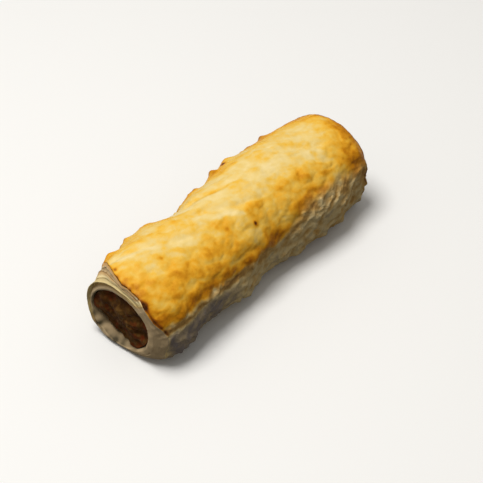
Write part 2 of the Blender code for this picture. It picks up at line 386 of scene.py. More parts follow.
@dataclass(frozen=True)
class CrustRelief:
    """Relief of the baked crust: swells, blisters, creases, flake ledges and the side's crinkles."""

    scores: tuple[Score, ...] = (
        Score(0.19, -0.012, 0.006, 0.0009),
        Score(0.55, -0.013, -0.003, 0.0010),
        Score(0.38, -0.002, 0.010, 0.0009),
        Score(0.76, -0.003, 0.008, 0.0008),
    )
    crags: tuple[Crag, ...] = (
        Crag(0.098, 140, 0.0018, 0.0028),
        Crag(0.19, 146, 0.0010, 0.0030),
        Crag(0.27, 144, 0.0008, 0.0028),
        Crag(0.47, 146, 0.0012, 0.0030),
        Crag(0.57, 148, 0.0010, 0.0030),
        Crag(0.64, 144, 0.0016, 0.0034),
        Crag(0.74, 146, 0.0010, 0.0030),
        Crag(0.81, 146, 0.0010, 0.0028),
        Crag(0.05, -34, 0.0012, 0.0035),
        Crag(0.13, -24, 0.0010, 0.0040),
        Crag(0.40, -34, 0.0018, 0.0030),
        Crag(0.53, -32, 0.0009, 0.0030),
        Crag(0.645, -32, 0.0018, 0.0030),
        Crag(0.75, -30, 0.0016, 0.0028),
        Crag(0.83, -28, 0.0012, 0.0032),
    )
    swell: float = 0.0009
    swell_size: float = 0.017
    blister: float = 0.0008
    blister_size: float = 0.0065
    blister_seed: tuple[float, float, float] = (3.1, 7.7, 1.9)
    blister_floor: float = 0.2
    blister_least: float = 0.7
    blister_gain: float = 0.6
    blister_middle: float = math.radians(20)
    blister_rise: Rise = Rise(0.2, 0.9)
    tip_reach: float = 0.45
    bubble: float = 0.00009
    bubble_size: float = 0.0040
    bubble_reach: float = 0.62
    bubble_sink: float = 0.35
    crease: float = 0.00007
    crease_size: float = 0.0070
    crease_width: float = 0.07
    crease_seed: tuple[float, float, float] = (5.2, 1.3, 8.4)
    flake_step: float = 0.00016
    flake_length: float = 0.017
    flake_width: float = 0.0080
    flake_turn: float = math.radians(-28)
    flake_scales: tuple[tuple[float, float], ...] = ((1.0, 1.0), (0.52, 0.7), (0.27, 0.45))
    flake_tone: float = 0.12
    flake_edge: Rise = Rise(-0.12, 0.16)
    flake_seed: tuple[float, float, float] = (2.7, 9.1, 4.4)
    crinkle: float = 0.0024
    crinkle_size: Vector = field(default_factory=lambda: Vector((0.0080, 0.0066, 0.0056)))
    crinkle_shear: float = 0.35
    crinkle_level: float = 0.42
    crinkle_folds: tuple[tuple[float, float], ...] = ((1.0, 0.65), (2.3, 0.35))
    crinkle_patch: float = 0.011
    crinkle_least: float = 0.45
    crinkle_gain: float = 0.9
    crinkle_rise: Rise = Rise(-0.3, 0.4)
    crinkle_sink: float = 0.2
    back_calm: float = 0.6
    side_bubbles: float = 0.5
    side_ledges: float = 2.0
    bare_relief: float = 0.35
    jag: float = 0.0020
    jag_size: float = 0.0030
    jag_turn: float = 2.2
    jag_seed: float = 11.0
    jag_floor: float = 0.12
    jag_bands: tuple[tuple[float, float], ...] = ((147, 12), (-32, 12))
    grain: float = 0.00010
    grain_size: float = 0.0013
    warp: float = 0.0016
    warp_size: float = 0.0065

    def score_depth(self, form: RollForm, share: float, angle: float) -> float:
        """Give how deep the scores cut here."""
        return sum(score.depth * score.strength(form, share, angle) for score in self.scores)

    def broad(self, form: RollForm, share: float, angle: float, place: Vector) -> float:
        """Give the height of the relief that the solid has too."""
        swell = self.swell * noise.noise(place / self.swell_size)
        shifted = place / self.blister_size + Vector(self.blister_seed)
        blister = self.blister * (abs(noise.noise(shifted)) - self.blister_floor)
        in_front = self.blister_rise.at(math.cos(angle - self.blister_middle))
        rough = self.blister_least + self.blister_gain * in_front
        crag = sum(lump.height * lump.strength(form, share, angle, 1.0) for lump in self.crags)
        return swell + blister * rough + crag - self.score_depth(form, share, angle)

    def tips(self, form: RollForm, share: float, angle: float) -> float:
        """Give how near the tip of a crag is, from 0 to 1, for the brown that the oven gave it."""
        return min(1.0, sum(lump.strength(form, share, angle, self.tip_reach) for lump in self.crags))

    def jagged(self, angle: float, place: Vector) -> float:
        """Give how much of a small jagged flake stands up here, along the two edges of the outline."""
        sharp = noise.noise(Vector((place.x / self.jag_size, angle * self.jag_turn, self.jag_seed)))
        near = 0.0
        for middle, half in self.jag_bands:
            turn = math.remainder(angle - math.radians(middle), 2 * math.pi)
            near += bump(turn, 0.0, math.radians(half))
        return max(0.0, sharp - self.jag_floor) * near

    def flake(self, warped: Vector) -> tuple[float, float]:
        """Give the step and the tone of the thin flake of pastry at a point.

        Args:
            warped: A point of the skin, already pushed about a little.

        Returns:
            The height of the flake's ledge, and how much browner or paler the flake is.
        """
        along = warped.x * math.cos(self.flake_turn) + warped.y * math.sin(self.flake_turn)
        over = warped.y * math.cos(self.flake_turn) - warped.x * math.sin(self.flake_turn)
        step, tone = 0.0, 0.0
        for size, amount in self.flake_scales:
            scaled = Vector((along / self.flake_length, over / self.flake_width, warped.z / self.flake_width))
            level = noise.noise(scaled / size + Vector(self.flake_seed) / size)
            edge = self.flake_edge.at(level) - 0.5
            step += self.flake_step * edge * amount
            tone += self.flake_tone * edge * amount
        return step, tone

    def fine(self, place: Vector, glaze: float) -> tuple[float, float]:
        """Give the fine relief.

        Args:
            place: A point of the smooth skin.
            glaze: 1 on the golden top, 0 on the pale side.

        Returns:
            The height over the broad relief, and the tone of the flake there.
        """
        warped = place + self.warp * noise.noise_vector(place / self.warp_size)
        nearest = noise.voronoi(warped / self.bubble_size)[0][0]
        bubble = self.bubble * (max(0.0, 1 - (nearest / self.bubble_reach) ** 2) - self.bubble_sink)
        line = noise.noise(warped / self.crease_size + Vector(self.crease_seed))
        crease = self.crease * bump(line, 0.0, self.crease_width)
        ledge, tone = self.flake(warped)
        scaled = Vector(part / size for part, size in zip(warped, self.crinkle_size))
        scaled.z -= self.crinkle_shear * scaled.x
        folded = self.crinkle_level
        for times, amount in self.crinkle_folds:
            folded -= amount * abs(noise.noise(scaled * times))
        patch = self.crinkle_rise.at(noise.noise(place / self.crinkle_patch))
        folded *= self.crinkle_least + self.crinkle_gain * patch
        grain = self.grain * noise.noise(place / self.grain_size)
        top = (bubble - crease + ledge) * (self.bare_relief + (1 - self.bare_relief) * glaze)
        calm = 1 - self.back_calm * BEHIND.at(place.y)
        side = self.crinkle * calm * (folded - self.crinkle_sink)
        side += self.side_bubbles * bubble + self.side_ledges * ledge
        return top + side * (1 - glaze) + grain, tone


@dataclass(frozen=True)
class Browning:
    """How the oven coloured the crust, from 0, pale dough, to 1, almost burnt, with painted shade on the bare
    side.
    """

    start: float = 0.36
    streak: float = 0.30
    streaks: tuple[PaleStreak, ...] = (
        PaleStreak(((0.074, 0.0078), (0.160, -0.0026), (0.266, -0.0078)), 0.0028),
        PaleStreak(((0.060, 0.0048), (0.105, 0.0020)), 0.0010, 0.8),
        PaleStreak(((0.340, 0.0092), (0.406, 0.0034), (0.480, 0.0007)), 0.0024),
        PaleStreak(((0.352, -0.0018), (0.470, -0.0116)), 0.0020, 0.8),
        PaleStreak(((0.640, -0.0013), (0.761, -0.0007), (0.825, -0.0096)), 0.0022, 0.9),
    )
    streak_push: float = 0.0022
    streak_push_size: float = 0.006
    streak_level: float = 0.8
    streak_grain: float = 0.5
    streak_grain_size: float = 0.0035
    raised_browning: float = 60.0
    patches: tuple[tuple[float, float], ...] = ((0.0115, 0.08), (0.0046, 0.10), (0.0021, 0.10))
    patch_seed: tuple[float, float, float] = (7.3, 2.2, 5.9)
    near_third: Rise = Rise(0.30, 0.45)
    past_waist: Rise = Rise(0.56, 0.66)
    glaze_line: Profile = Profile(
        (
            (0.0, 0.0224), (0.11, 0.0226), (0.20, 0.0234), (0.39, 0.0214), (0.56, 0.0209),
            (0.62, 0.0232), (0.68, 0.0282), (0.77, 0.0288), (0.90, 0.0262), (1.0, 0.0250),
        )
    )
    glaze_wander: tuple[tuple[float, float], ...] = ((0.010, 0.0010), (0.0035, 0.0016))
    glaze_soft: float = 0.0014
    far_softness: float = 1.4
    line_band: Hill = Hill(0.40, 0.0019, 0.0031)
    line_band_level: float = 0.9
    line_band_grain: float = 0.4
    line_band_grain_size: float = 0.006
    line_band_far_loss: float = 0.7
    front_band: Hill = Hill(0.05, 33.0, 13.0)
    back_band: Hill = Hill(0.14, 148.0, 17.0)
    near_band: Hill = Hill(0.12, 56.0, 22.0)
    middle_band: Hill = Hill(0.05, 56.0, 22.0)
    pale_crest: Hill = Hill(0.12, 96.0, 26.0)
    far_end: Rise = Rise(0.84, 0.985)
    far_end_browning: float = 0.34
    near_rim: Rise = Rise(0.0045, 0.0085)
    near_rim_browning: float = 0.10
    # Low at the near end, where it takes the bare ramp's grey lowest stop: painted shade on the near side.
    side_base_and_near_shade: Profile = Profile(((0.0, 0.02), (0.25, 0.08), (0.40, 0.41), (0.60, 0.44), (0.9, 0.49)))
    side_grain: float = 0.16
    side_grain_size: float = 0.0032
    # Painted shade: the side's hollows darker and its ridges lighter, by the height of the fine relief.
    painted_hollow_shade: float = 130.0
    near_hollows: float = 0.4
    hollow_rise: Rise = Rise(0.20, 0.40)
    near_side: Rise = Rise(0.003, 0.012)
    near_side_browning: float = 0.20
    back_tone: float = 0.40
    back_evenness: float = 0.7
    under_line: Hill = Hill(0.56, 0.0018, 0.0026)
    under_line_end: Rise = Rise(0.30, 0.42)
    upper_side: float = 0.26
    upper_side_drop: Rise = Rise(0.0, 0.009)
    upper_side_start: Rise = Rise(0.25, 0.45)
    upper_side_level: float = 0.5
    upper_side_grain_size: float = 0.005
    tip_browning: float = 0.24
    jag_browning: float = 1.4
    brownest: float = 0.68
    past_brownest: float = 0.35
    base_edge: Rise = Rise(0.0012, 0.0040)
    base_browning: float = 0.25
    spots: tuple[BrownSpot, ...] = (
        BrownSpot(0.483, -0.0169, 0.0007, 0.62),
        BrownSpot(0.392, -0.0129, 0.0013, 0.22),
        BrownSpot(0.618, 0.0177, 0.0012, 0.55),
        BrownSpot(0.810, -0.0082, 0.0007, 0.22),
        BrownSpot(0.720, 0.0009, 0.0011, 0.16),
        BrownSpot(0.160, -0.0076, 0.0008, 0.16),
        BrownSpot(0.113, 0.0156, 0.0012, 0.45),
        BrownSpot(0.041, 0.0018, 0.0009, 0.55),
        BrownSpot(0.019, -0.0171, 0.0011, 0.75),
    )

    def paleness(self, form: RollForm, share: float, place: Vector) -> float:
        """Give how much of the pale streaks is at a point of the top, from 0 to 1."""
        if place.z < form.belly:
            return 0.0
        push = self.streak_push * noise.noise_vector(place / self.streak_push_size)
        along, y = share + push.x / form.length, place.y + push.y
        found = sum(streak.at(form, along, y) for streak in self.streaks)
        grain = self.streak_grain * noise.noise(place / self.streak_grain_size)
        return min(1.0, found * (self.streak_level + grain))

    def glaze(self, share: float, place: Vector) -> float:
        """Give 1 on the egg-washed top, 0 on the side that the brush missed."""
        wander = sum(amount * noise.noise(place / size) for size, amount in self.glaze_wander)
        above = place.z + wander - self.glaze_line.at(share)
        soft = self.glaze_soft * (1 + self.far_softness * self.past_waist.at(share))
        return ease(above, -soft, soft)

    def top(self, form: RollForm, share: float, place: Vector, fine: float) -> float:
        """Give the browning of the glazed top: bands along the roll, the far end and the near rim.

        Args:
            form: The roll's form.
            share: How far along the roll the point is.
            place: The point on the smooth skin.
            fine: Height of its fine relief.

        Returns:
            The browning, before patches and flakes.
        """
        polar = math.degrees(math.atan2(place.z - form.belly, -place.y))
        past_near = self.near_third.at(share)
        grain = self.line_band_grain * noise.noise(place / self.line_band_grain_size)
        line = self.line_band.at(place.z - self.glaze_line.at(share)) * (self.line_band_level + grain)
        line *= 1 - self.line_band_far_loss * self.past_waist.at(share)
        shoulder = self.near_band.at(polar)
        shoulder += (self.middle_band.at(polar) - shoulder) * past_near
        top = self.start + self.raised_browning * fine + line + shoulder
        top += self.front_band.at(polar) + self.back_band.at(polar)
        top -= self.pale_crest.at(polar) * past_near
        top += self.far_end_browning * self.far_end.at(share)
        return top + self.near_rim_browning * (1 - self.near_rim.at(share * form.length))

    def side(self, form: RollForm, share: float, place: Vector, fine: float) -> float:
        """Give the browning of the bare side: painted shade in its folds' hollows and on the near side, and
        brown dough just under the glaze.

        Args:
            form: The roll's form.
            share: How far along the roll the point is.
            place: The point on the smooth skin.
            fine: Height of its fine relief.

        Returns:
            The browning, before patches.
        """
        side = self.side_base_and_near_shade.at(share) + self.side_grain * noise.noise(place / self.side_grain_size)
        # Painted shade in the hollows of the side's folds, painted light on their ridges.
        hollows = self.near_hollows + (1 - self.near_hollows) * self.hollow_rise.at(share)
        side -= self.painted_hollow_shade * fine * hollows
        side += self.near_side_browning * (1 - self.near_side.at(share * form.length))
        side += self.back_evenness * (self.back_tone - side) * BEHIND.at(place.y)
        below = self.glaze_line.at(share) - place.z
        side += self.under_line.at(below) * (1 - self.under_line_end.at(share))
        upper = self.upper_side * (1 - self.upper_side_drop.at(below)) * self.upper_side_start.at(share)
        return side + upper * (self.upper_side_level + noise.noise(place / self.upper_side_grain_size))

    def at(
        self, form: RollForm, share: float, place: Vector, fine: float, tone: float, glaze: float
    ) -> float:
        """Give the browning of a point of the crust.

        Args:
            form: The roll's form.
            share: How far along the roll the point is.
            place: The point on the smooth skin.
            fine: Height of its fine relief.
            tone: How much browner the flake there is than those round it.
            glaze: How much of the golden glaze is on it.

        Returns:
            The browning, from 0 to 1.
        """
        patch = 0.0
        for size, amount in self.patches:
            patch += amount * noise.noise(place / size + Vector(self.patch_seed))
        top = self.top(form, share, place, fine) + tone
        side = self.side(form, share, place, fine)
        baked = side + (top - side) * glaze + patch
        baked = min(baked, self.brownest + self.past_brownest * max(0.0, baked - self.brownest))
        baked += self.base_browning * (1 - self.base_edge.at(place.z))
        for spot in self.spots:
            apart = math.hypot((share - spot.share) * form.length, place.y - spot.y)
            if place.z > form.belly:
                baked += spot.strength * bump(apart, 0.0, spot.radius)
        return min(1.0, max(0.0, baked))


class WallKind(Enum):
    """Where a station of the pastry wall's closed profile lies."""

    EDGE = "edge of a leaf at a cut"
    SLIT = "slit between two leaves"
    SKIN = "outer crust"
    BORE = "wall of the bore"


@dataclass(frozen=True)
class WallStation:
    """One station of the wall's profile: its end of the roll, its leaf, and its share of the way."""

    side: int
    kind: WallKind
    leaf: int
    share: float


@dataclass(frozen=True)
class CutEnds:
    """The leaves that the pastry shows at its cut ends."""

    leaves: tuple[tuple[float, float], ...] = ((0.0, 0.44), (0.52, 0.74), (0.81, 1.0))
    set_back: tuple[float, ...] = (0.0, 0.0046, 0.0090)
    leaf_slope: tuple[float, ...] = (0.0022, 0.0018, 0.0012)
    slit_depth: float = 0.0034
    slit_show: tuple[float, ...] = (0.10, 0.40)
    slit_taper: float = 0.02
    far_rise: float = 0.6
    risen_middle: float = math.radians(168)
    risen_power: float = 1.2
    layered_middle: float = math.radians(118)
    layered_rise: Rise = Rise(0.2, 0.6)
    wall_round: float = 0.0034
    round_power: float = 3.0
    round_end: Rise = Rise(0.0, 0.5)
    edge_wave: float = 0.0004
    edge_waves: float = 2.3
    edge_wave_seeds: tuple[float, float] = (4.0, 17.0)
    cut_lean: float = 0.02
    cut_skew: float = 0.0016
    lip_round: float = 0.0006
    lip_power: int = 4
    bore_lip: Rise = Rise(0.0, 0.15)
    torn: float = 0.00030
    torn_size: float = 0.0030
    torn_radius: float = 0.019
    torn_seeds: tuple[float, float] = (3.7, 9.0)
    torn_least: float = 0.3
    lamina: float = 0.00026
    laminae_per_wall: float = 7.0
    lamina_turn: float = 1.4
    lamina_seed: float = 5.0
    lamina_level: float = 0.5

    def risen(self, angle: float) -> float:
        """Give how far the leaves have come apart here, from 0 to 1."""
        return max(0.0, math.cos(angle - self.risen_middle)) ** self.risen_power

    def layered(self, angle: float) -> float:
        """Give how plainly the layers show: 1 over the top and back, 0 on the smooth front and floor."""
        return max(self.risen(angle), self.layered_rise.at(math.cos(angle - self.layered_middle)))

    @staticmethod
    def seed(station: WallStation, seeds: tuple[float, float]) -> Vector:
        """Give the shift that keeps the noise of one leaf and one end apart from the others."""
        return Vector((0.0, 0.0, seeds[0] * station.leaf + seeds[1] * station.side))

    def inset(self, form: RollForm, station: WallStation, angle: float) -> float:
        """Give the distance of a station from the end of the roll."""
        rise = self.risen(angle) * (1.0 if station.side < 0 else self.far_rise)
        low_down = 1 - self.round_end.at(math.sin(angle))
        rounded = self.wall_round * low_down * station.share ** self.round_power
        around = Vector((math.cos(angle), math.sin(angle), 0.0))
        inset = rounded + (self.set_back[station.leaf] - rounded) * rise
        waved = around * self.edge_waves + self.seed(station, self.edge_wave_seeds)
        inset += self.edge_wave * noise.noise(waved)
        if station.side < 0:
            inset += self.cut_lean * form.height * (1 + math.sin(angle)) / 2
            inset += self.cut_skew * (1 + math.cos(angle)) / 2
        if station.kind is WallKind.SLIT:
            inset += self.slit_depth * self.slit_show[station.leaf] * rise
        else:
            inner, outer = self.leaves[station.leaf]
            held = outer if station.leaf else inner
            inset += self.leaf_slope[station.leaf] * rise * (station.share - held) / (outer - inner)
        return max(0.0, inset)

    def torn_edge(self, station: WallStation, angle: float) -> float:
        """Give the fine unevenness of a leaf's edge: its rounding, tears and thin layers."""
        inner, outer = self.leaves[station.leaf]
        off_middle = abs(2 * (station.share - inner) / (outer - inner) - 1)
        around = Vector((math.cos(angle), math.sin(angle), 0.0)) * self.torn_radius / self.torn_size
        tear = self.torn * noise.noise(around + self.seed(station, self.torn_seeds))
        layer = Vector(
            (
                station.share * self.laminae_per_wall,
                angle * self.lamina_turn,
                self.lamina_seed * station.side,
            )
        )
        shown = self.layered(angle)
        at_bore = 1 - self.bore_lip.at(station.share)
        rounded = self.lip_round * (off_middle ** self.lip_power * shown * (1 - at_bore) + at_bore)
        tear *= self.torn_least + (1 - self.torn_least) * shown
        return rounded + tear + self.lamina * shown * (self.lamina_level + noise.noise(layer))


@dataclass
class PastryWall:
    """The pastry: one closed wall of crust, cut leaves and bore, spun round the roll."""

    form: RollForm
    relief: CrustRelief = field(default_factory=CrustRelief)
    browning: Browning = field(default_factory=Browning)
    ends: CutEnds = field(default_factory=CutEnds)
    around: int = 300
    skin_steps: int = 216
    edge_steps: int = 8
    slit_steps: int = 4
    bore_steps: int = 40
    relief_start: Rise = Rise(0.0012, 0.007)
    floor_lump: float = 0.0009
    floor_lump_size: float = 0.0026
    floor_lump_turn: float = 3.4
    floor_lump_seed: float = 2.0
    floor_middle: float = math.radians(238)
    floor_reach: float = 1.25
    floor_start: Rise = Rise(-0.0010, 0.0002)
    lump_start: Rise = Rise(0.0008, 0.0026)
    # How much paler the bore's floor band is painted: painted light on the floor.
    floor_paleness: float = 0.60
    floor_unevenness: float = 0.3
    floor_grain: float = 0.5
    floor_grain_size: float = 0.0028
    bore_browning: float = 0.3
    lip: Rise = Rise(0.0, 0.10)
    lip_stain: float = 0.22
    # Painted shade on the lower part of the near cut face, over the floor.
    painted_lip_shade: float = 0.64
    painted_lip_shade_size: float = 0.0024
    painted_lip_shade_level: float = 0.8
    painted_lip_shade_grain: float = 1.6
    edge_line: float = 0.0019
    edge_browning: float = 0.34
    ring_radius: float = 0.020
    tube_radius: float = 0.005

    def stations(self) -> list[WallStation]:
        """List the closed profile: near cut from the bore out, crust, far cut, bore."""
        near: list[WallStation] = []
        leaves, taper = self.ends.leaves, self.ends.slit_taper
        for leaf, (inner, outer) in enumerate(leaves):
            for step in range(self.edge_steps):
                share = inner + (outer - inner) * step / (self.edge_steps - 1)
                near.append(WallStation(-1, WallKind.EDGE, leaf, share))
            if leaf + 1 == len(leaves):
                continue
            start, end = outer + taper, leaves[leaf + 1][0] - taper
            for step in range(self.slit_steps):
                share = start + (end - start) * step / (self.slit_steps - 1)
                near.append(WallStation(-1, WallKind.SLIT, leaf, share))
        far = [WallStation(1, one.kind, one.leaf, one.share) for one in reversed(near)]
        skin = [(step + 1) / (self.skin_steps + 1) for step in range(self.skin_steps)]
        bore = [1 - (step + 1) / (self.bore_steps + 1) for step in range(self.bore_steps)]
        outside = [WallStation(0, WallKind.SKIN, 0, share) for share in skin]
        inside = [WallStation(0, WallKind.BORE, 0, share) for share in bore]
        return near + outside + far + inside

    def on_floor(self, angle: float) -> float:
        """Give how near an angle is to the lower left, where the floor shows, from 0 to 1."""
        off = math.remainder(angle - self.floor_middle, 2 * math.pi)
        return bump(off, 0.0, self.floor_reach)

    def skin(self, share: float, angle: float) -> tuple[Vector, float, float]:
        """Give a point of the crust.

        Args:
            share: How far along the roll.
            angle: Where round it.

        Returns:
            The point, its browning and how much of the golden glaze is on it.
        """
        form, relief, browning = self.form, self.relief, self.browning
        y, z = form.section(share, angle)
        smooth = Vector(((share - 0.5) * form.length, y, z))
        glaze = browning.glaze(share, smooth)
        fine, tone = relief.fine(smooth, glaze)
        jagged = relief.jagged(angle, smooth)
        raised = relief.broad(form, share, angle, smooth) + fine + relief.jag * jagged
        raised *= self.relief_start.at(z)
        outward = Vector((0.0, y, z - form.belly)).normalized()
        tone -= browning.streak * browning.paleness(form, share, smooth)
        tone += browning.tip_browning * (relief.tips(form, share, angle) + browning.jag_browning * jagged)
        baked = browning.at(form, share, smooth, fine, tone, glaze)
        return form.settled(smooth + outward * raised, angle), baked, glaze

    def bore(self, share: float, angle: float) -> tuple[Vector, float]:
        """Give a point of the bore, whose floor shows in front of the meat at the near end.

        Args:
            share: Share of the way along it, which closes up towards both ends.
            angle: Where round it.

        Returns:
            The point, and how dark it is painted: meat juice stain and painted shade, less on the floor, as
                painted light.
        """
        form = self.form
        half = form.length / 2 - self.ends.slit_depth
        x = -half * math.cos(math.pi * share)
        from_end = x + form.length / 2
        turned = angle * self.floor_lump_turn
        uneven = noise.noise(Vector((turned, from_end / self.floor_lump_size, self.floor_lump_seed)))
        before_meat = form.meat_edge(-1, angle) - from_end
        floor = self.on_floor(angle) * self.floor_start.at(before_meat)
        lump = self.floor_lump * floor * (1 + uneven) * self.lump_start.at(from_end)
        y, z = form.meat_oval(x / form.length + 0.5, angle, 1.0, form.fit_gap - lump)
        point = Vector((x, y, z))
        grain = self.floor_grain * noise.noise(point / self.floor_grain_size)
        # Painted light: the floor band is left paler than the rest of the bore, whose dark stain is partly
        # painted shade.
        painted_floor_light = floor * (self.floor_paleness + self.floor_unevenness * uneven + grain)
        return point, min(1.0, max(0.0, 1.0 - painted_floor_light))

    def place(self, station: WallStation, angle: float) -> tuple[Vector, float, float, float, float]:
        """Give where a station lies at an angle.

        Args:
            station: The station of the profile.
            angle: Where round the roll.

        Returns:
            The point, its browning, its glaze, its share of the wall from bore to crust, and its juice stain
            and painted shade.
        """
        form = self.form
        if station.kind is WallKind.SKIN:
            edges = [WallStation(side, WallKind.EDGE, 2, 1.0) for side in (-1, 1)]
            start, end = (self.ends.inset(form, edge, angle) / form.length for edge in edges)
            covered = 1 - start - end
            point, baked, glaze = self.skin(start + covered * station.share, angle)
            from_edge = covered * min(station.share, 1 - station.share) * form.length
            baked = min(1.0, baked + self.edge_browning * (1 - ease(from_edge, 0.0, self.edge_line)))
            return point, baked, glaze, 1.0, 0.0
        if station.kind is WallKind.BORE:
            point, stain_and_shade = self.bore(station.share, angle)
            return point, self.bore_browning, 0.0, 0.0, stain_and_shade
        inset = self.ends.inset(form, station, angle)
        if station.kind is WallKind.EDGE:
            inset += self.ends.torn_edge(station, angle)
        along = max(0.0, inset) / form.length
        along = along if station.side < 0 else 1 - along
        outside, baked, glaze = self.skin(along, angle)
        y, z = form.meat_oval(along, angle, 1.0, form.fit_gap)
        inside = Vector((outside.x, y, z))
        wall = station.share * self.ends.layered(angle)
        stain_and_shade = self.lip_stain * (1 - self.lip.at(station.share))
        point = inside.lerp(outside, station.share)
        if station.side < 0:
            # Painted shade: the near cut face is darker over the floor, at its lower lip.
            grain = self.painted_lip_shade_grain * noise.noise(point / self.painted_lip_shade_size)
            stain_and_shade += self.painted_lip_shade * self.on_floor(angle) * max(0.0, self.painted_lip_shade_level + grain)
        return point, baked, glaze, wall, stain_and_shade

    def build(self) -> bpy.types.Object:
        """Spin the profile's ring, press it to the roll's form and store what the finish reads."""
        stations = self.stations()
        count = len(stations)
        shape = bmesh.new()
        ring = []
        for number in range(count):
            turn = 2 * math.pi * number / count
            reach = self.ring_radius + self.tube_radius * math.sin(turn)
            ring.append(shape.verts.new((self.tube_radius * math.cos(turn), -reach, 0.0)))
        edges = [shape.edges.new((ring[number], ring[(number + 1) % count])) for number in range(count)]
        bmesh.ops.spin(
            shape, geom=ring + edges, cent=(0, 0, 0), axis=(1, 0, 0), angle=-2 * math.pi,
            steps=self.around, use_merge=True,
        )
        # The stain layer holds meat juice stain and painted shade, with the bore's floor painted lighter; the
        # browning layer also holds the bare side's painted shade.
        names = ("browning", "glaze", "wall", "stain_and_shade", "cut")
        layers = [shape.verts.layers.float.new(name) for name in names]
        for vertex in shape.verts:
            x, y, z = vertex.co
            turn = math.atan2(math.hypot(y, z) - self.ring_radius, x)
            station = stations[round(turn / (2 * math.pi) * count) % count]
            point, *values = self.place(station, math.atan2(z, -y))
            vertex.co = point
            cut = 0.0 if station.kind is WallKind.SKIN else 1.0
            for layer, value in zip(layers, (*values, cut)):
                vertex[layer] = value
        bmesh.ops.recalc_face_normals(shape, faces=shape.faces)
        for face in shape.faces:
            face.smooth = True
            face.material_index = int(all(vertex[layers[-1]] > 0.5 for vertex in face.verts))
        return finished_object(shape, "flaky_pastry")


@dataclass
class SausageMeat:
    """The run of sausage meat, with its two browned, crumbed cut faces."""

    form: RollForm
    around: int = 168
    rings: int = 120
    face_share: float = 0.38
    lump: float = 0.0024
    lump_size: float = 0.0062
    crumb: float = 0.0002
    crumb_size: float = 0.0044
    crevice_width: Rise = Rise(0.0, 0.35)
    edge_wave: float = 0.0012
    edge_wave_size: float = 0.0032
    edge_wave_start: Rise = Rise(-0.3, 0.3)
    edge_power: int = 6
    pit: float = 0.0003
    pit_size: float = 0.0013
    rim_base: float = 0.15
    rim_size: float = 0.0050
    rim_start: Rise = Rise(0.72, 0.98)

    def face(self, side: int, out: float, angle: float) -> tuple[Vector, float]:
        """Give a point of one of the two cut faces.

        Args:
            side: -1 for the near face, 1 for the far one.
            out: Share of the way out from the face's middle.
            angle: Where round the roll.

        Returns:
            The point, and the depth of the crumb's crevices there from 0 to 1.
        """
        form = self.form
        edge = form.meat_edge(side, angle)
        around = Vector(form.meat_oval(0.5, angle, 1.0, 0.0)).to_3d()
        wave = self.edge_wave * noise.noise(around / self.edge_wave_size)
        edge += wave * self.edge_wave_start.at(-math.sin(angle))
        from_middle = form.length / 2 - form.meat_middle - (edge - form.meat_middle) * out ** 2
        y, z = form.meat_oval(0.5 + side * from_middle / form.length, angle, out, 0.0)
        spot = Vector((side * from_middle, y, z))
        nearest = noise.voronoi(spot / self.crumb_size)[0]
        crevice = 1 - self.crevice_width.at(nearest[1] - nearest[0])
        lump = self.lump * noise.noise(spot / self.lump_size)
        crumb = self.pit * noise.noise(spot / self.pit_size) - self.crumb * crevice
        raised = (lump + crumb) * (1 - out ** self.edge_power)
        return Vector((side * (from_middle + raised), y, z)), crevice

    def place(self, ring: float, angle: float) -> tuple[Vector, float]:
        """Give a point of the meat and its crevice, by the ring's share of the way from end to end."""
        if ring < self.face_share:
            return self.face(-1, ring / self.face_share, angle)
        if ring > 1 - self.face_share:
            return self.face(1, (1 - ring) / self.face_share, angle)
        along = (ring - self.face_share) / (1 - 2 * self.face_share)
        x = self.face(-1, 1.0, angle)[0].lerp(self.face(1, 1.0, angle)[0], along).x
        return Vector((x, *self.form.meat_oval(x / self.form.length + 0.5, angle, 1.0, 0.0))), 0.0

    def build(self) -> bpy.types.Object:
        """Draw a sphere out to the rod and rough up its faces."""
        shape = bmesh.new()
        bmesh.ops.create_uvsphere(shape, u_segments=self.around, v_segments=self.rings, radius=1.0)
        crevices = shape.verts.layers.float.new("crevice")
        rims = shape.verts.layers.float.new("rim")
        for vertex in shape.verts:
            ring = math.acos(max(-1.0, min(1.0, vertex.co.z))) / math.pi
            point, crevice = self.place(ring, math.atan2(vertex.co.y, vertex.co.x))
            vertex.co = point
            vertex[crevices] = crevice
            near_edge = self.rim_start.at(min(ring, 1 - ring) / self.face_share)
            vertex[rims] = near_edge * max(0.0, self.rim_base + noise.noise(point / self.rim_size))
        bmesh.ops.recalc_face_normals(shape, faces=shape.faces)
        for face in shape.faces:
            face.smooth = True
        return finished_object(shape, "sausage_meat")


def finished_object(shape: bmesh.types.BMesh, name: str) -> bpy.types.Object:
    """Turn a bmesh into an object at the origin.

    Args:
        shape: The mesh, which is freed.
        name: The piece's name.

    Returns:
        The object, linked to the scene.
    """
    mesh = bpy.data.meshes.new(name)
    shape.to_mesh(mesh)
    shape.free()
    piece = bpy.data.objects.new(name, mesh)
    bpy.context.scene.collection.objects.link(piece)
    return piece


def start_material(name: str, constants: dict[str, Any]) -> tuple[bpy.types.Material, bpy.types.NodeTree]:
    """Make a material whose shader holds constants.

    Args:
        name: The real material's name.
        constants: The value of each named socket of the shader.

    Returns:
        The material and its node tree.
    """
    made = bpy.data.materials.new(name)
    made.use_nodes = True
    for socket, value in constants.items():
        made.node_tree.nodes["Principled BSDF"].inputs[socket].default_value = value
    return made, made.node_tree


def feed_shader(tree: bpy.types.NodeTree, links: dict[str, bpy.types.NodeSocket]) -> None:
    """Link an output socket to each named socket of the material's shader."""
    for socket, source in links.items():
        tree.links.new(source, tree.nodes["Principled BSDF"].inputs[socket])


